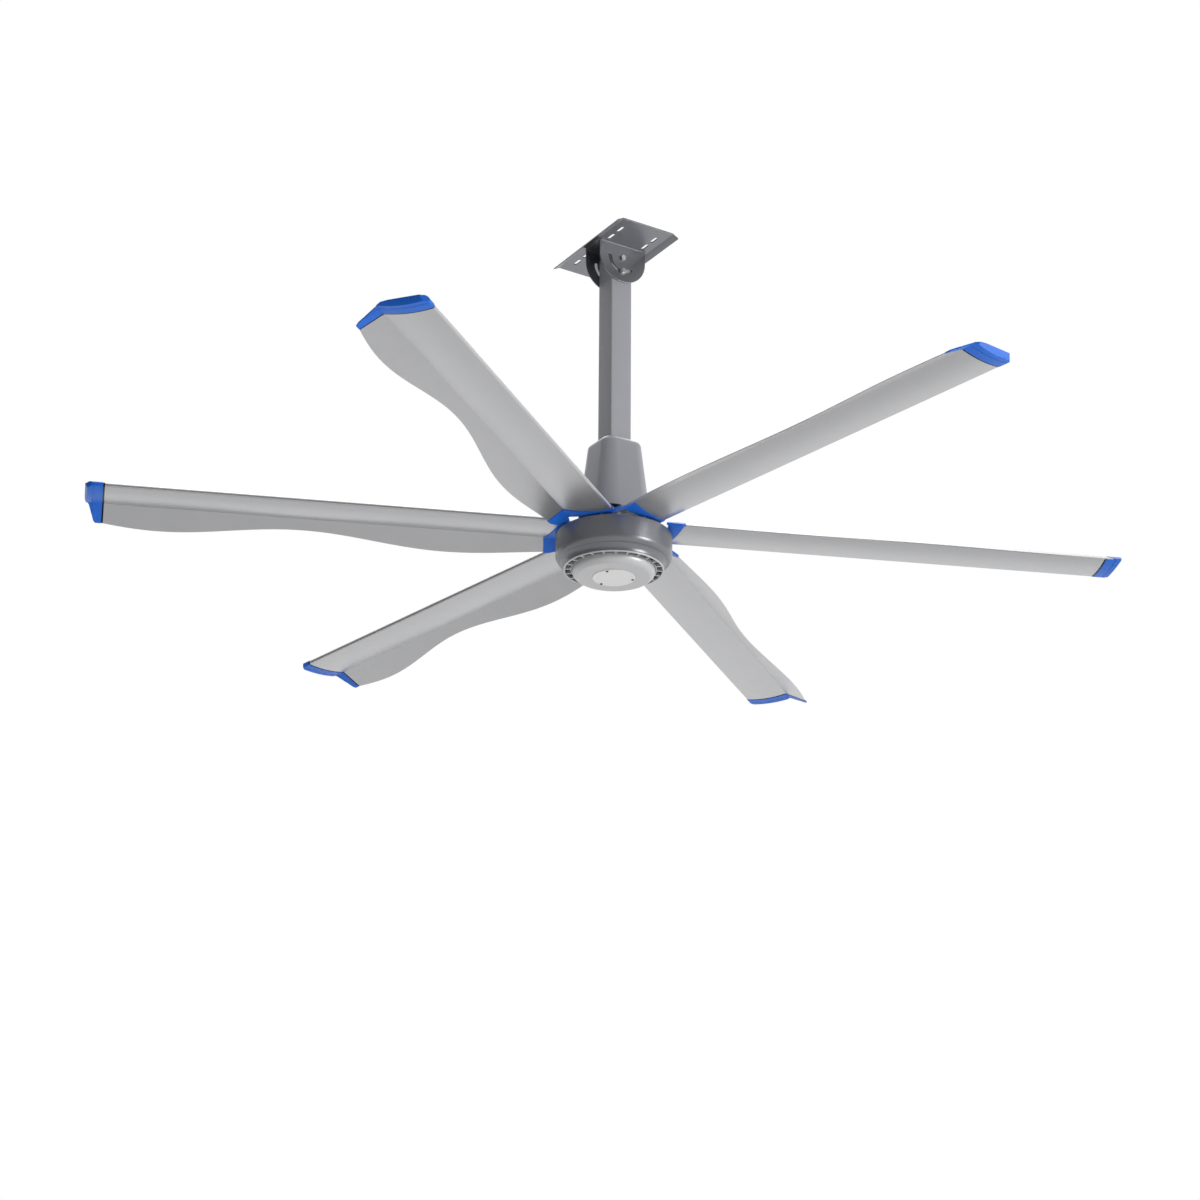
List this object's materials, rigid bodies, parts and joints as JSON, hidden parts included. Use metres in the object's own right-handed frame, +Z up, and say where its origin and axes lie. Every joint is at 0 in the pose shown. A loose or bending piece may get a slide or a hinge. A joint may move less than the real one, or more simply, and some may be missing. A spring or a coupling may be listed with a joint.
{
  "type": "high volume low speed fan",
  "caption": "Large ceiling fan: hollow aluminium blades with drooping wavy flaps on a hub motor, hung by a square down tube from a tilting ceiling bracket.",
  "frame": {"origin": "centre of the ceiling plate's top face, which bears on the ceiling", "axes": "+Z up out of that face, +X along the plate's long side and parallel to the tilt bolt"},
  "size_m": [3.5888, 3.363, 1.274],
  "materials": {
    "bracket_paint": "gloss dark grey paint",
    "zinc": "bright zinc plate",
    "tube_paint": "satin mid grey paint",
    "canopy_paint": "satin light grey paint",
    "shaft_steel": "turned steel",
    "bearing_steel": "ground bearing steel",
    "core_steel": "stacked electrical steel",
    "copper": "enamelled copper wire",
    "magnet": "nickel plated magnet",
    "housing_paint": "satin dark grey paint",
    "arm_steel": "grey painted steel bar",
    "blade_silver": "satin silver anodised extrusion",
    "blue_plastic": "blue moulded plastic, semi gloss",
    "dish_paint": "satin silver paint",
    "badge_white": "plain white plate",
    "screw_black": "black oxide"
  },
  "bodies": {
    "bracket": {"ceiling_plate": "bracket_paint", "ear_near": "bracket_paint", "ear_far": "bracket_paint"},
    "mast": {"down_tube": "tube_paint", "pivot_bolt": "zinc", "lock_bolt": "zinc", "pivot_nut": "zinc", "lock_nut": "zinc", "lock_washer": "zinc", "spacer_sleeves": "zinc", "tube_foot": "tube_paint", "foot_bolts": "zinc", "foot_nuts": "zinc", "canopy": "canopy_paint", "fixed_shaft": "shaft_steel", "shaft_nut": "zinc", "upper_bearing_inner": "bearing_steel", "lower_bearing_inner": "bearing_steel", "stator_core": "core_steel", "stator_windings": "copper"},
    "rotor": {"upper_bearing_outer": "bearing_steel", "lower_bearing_outer": "bearing_steel", "upper_bearing_balls": "bearing_steel", "lower_bearing_balls": "bearing_steel", "rotor_magnets": "magnet", "motor_housing": "housing_paint", "hub_disc": "housing_paint", "housing_bolts": "zinc", "blade_arm_1": "arm_steel", "blade_arm_2": "arm_steel", "blade_arm_3": "arm_steel", "blade_arm_4": "arm_steel", "blade_arm_5": "arm_steel", "blade_arm_6": "arm_steel", "blade_1": "blade_silver", "blade_2": "blade_silver", "blade_3": "blade_silver", "blade_4": "blade_silver", "blade_5": "blade_silver", "blade_6": "blade_silver", "root_collar_1": "blue_plastic", "root_collar_2": "blue_plastic", "root_collar_3": "blue_plastic", "root_collar_4": "blue_plastic", "root_collar_5": "blue_plastic", "root_collar_6": "blue_plastic", "tip_cap_1": "blue_plastic", "tip_cap_2": "blue_plastic", "tip_cap_3": "blue_plastic", "tip_cap_4": "blue_plastic", "tip_cap_5": "blue_plastic", "tip_cap_6": "blue_plastic", "hub_bolts": "zinc", "blade_bolts": "zinc", "vent_ring": "dish_paint", "dish_cover": "dish_paint", "badge_plate": "badge_white", "badge_screws": "screw_black"}
  },
  "joints": [
    {"name": "tilt", "type": "hinge", "parent": "bracket", "child": "mast", "pos_m": [0, 0, -0.054], "axis": [-1, 0, 0], "range_deg": [-35, 85]},
    {"name": "rotor_spin", "type": "hinge", "parent": "mast", "child": "rotor", "pos_m": [0, 0, -1.096], "axis": [0, 0, 1], "continuous": true}
  ]
}
